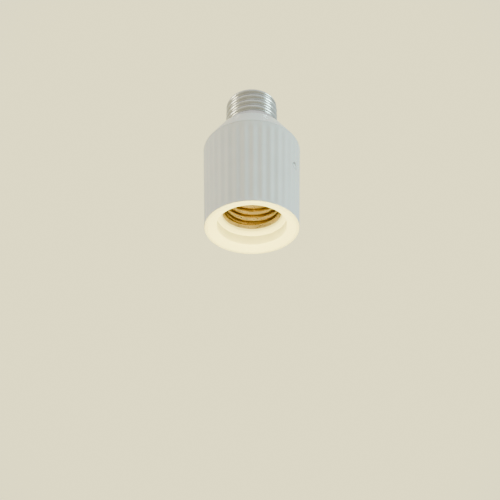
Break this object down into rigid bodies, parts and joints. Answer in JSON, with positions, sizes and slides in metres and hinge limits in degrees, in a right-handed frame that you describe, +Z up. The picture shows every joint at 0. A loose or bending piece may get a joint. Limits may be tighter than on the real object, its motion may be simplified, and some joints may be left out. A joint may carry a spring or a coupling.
{
  "type": "smart bulb socket adapter",
  "caption": "Fluted white adapter that screws into a lampholder and takes a bulb in its lower socket, with a pairing button on its side.",
  "frame": {"origin": "centre of the mouth's rim, on the plane the adapter stands on", "axes": "+Z up the part's axis from the mouth to the lamp base; the picture looks along +Y from below, with +X to the right"},
  "size_m": [0.0474, 0.0474, 0.0824],
  "materials": {
    "white_plastic": "fine satin moulding",
    "button_plastic": "satin moulding",
    "plated_shell": "nickel plated rolled sheet",
    "black_glass": "glossy fused glass",
    "solder": "tinned contact with solder",
    "liner_plastic": "satin moulding",
    "socket_brass": "rolled brass sheet",
    "spring_brass": "phosphor bronze strip",
    "thermoset": "moulded thermoset",
    "circuit_board": "green circuit board",
    "yellow_plastic": "moulded box",
    "aluminium_can": "sleeved can",
    "ferrite": "ferrite spool with winding",
    "black_plastic": "moulded package",
    "blue_coating": "dipped coating",
    "ceramic_tube": "ceramic tube",
    "tinned_steel": "tinned can",
    "tinned_copper": "tinned wire",
    "black_insulation": "lead insulation",
    "white_insulation": "lead insulation"
  },
  "bodies": {
    "housing": {"body_shell": "white_plastic", "top_cap": "white_plastic", "base_shell": "plated_shell", "base_insulator": "black_glass", "base_contact": "solder", "socket_liner": "liner_plastic", "socket_shell": "socket_brass", "socket_base": "thermoset", "shell_rivets": "socket_brass", "contact_rivet": "socket_brass", "contact_spring": "spring_brass", "control_board": "circuit_board", "radio_board": "circuit_board", "button_board": "circuit_board", "film_capacitor": "yellow_plastic", "smoothing_capacitor": "aluminium_can", "suppression_choke": "ferrite", "power_triac": "black_plastic", "surge_varistor": "blue_coating", "line_fuse": "ceramic_tube", "radio_shield": "tinned_steel", "antenna_wire": "tinned_copper", "live_lead": "black_insulation", "neutral_lead": "white_insulation", "neutral_link": "tinned_copper", "switched_link": "tinned_copper", "push_switch": "black_plastic"},
    "button": {"pair_button": "button_plastic", "switch_plunger": "black_plastic"},
    "contact": {"contact_tip": "spring_brass"}
  },
  "joints": [
    {"name": "pair_button_press", "type": "slide", "parent": "housing", "child": "button", "axis": [-0.8796, 0.4756, 0], "range_m": [0, 0.0004], "stiffness_N_per_m": 2500},
    {"name": "contact_press", "type": "slide", "parent": "housing", "child": "contact", "axis": [0, 0, 1], "range_m": [0, 0.0012], "stiffness_N_per_m": 4000, "deforming": ["contact_spring"]}
  ]
}
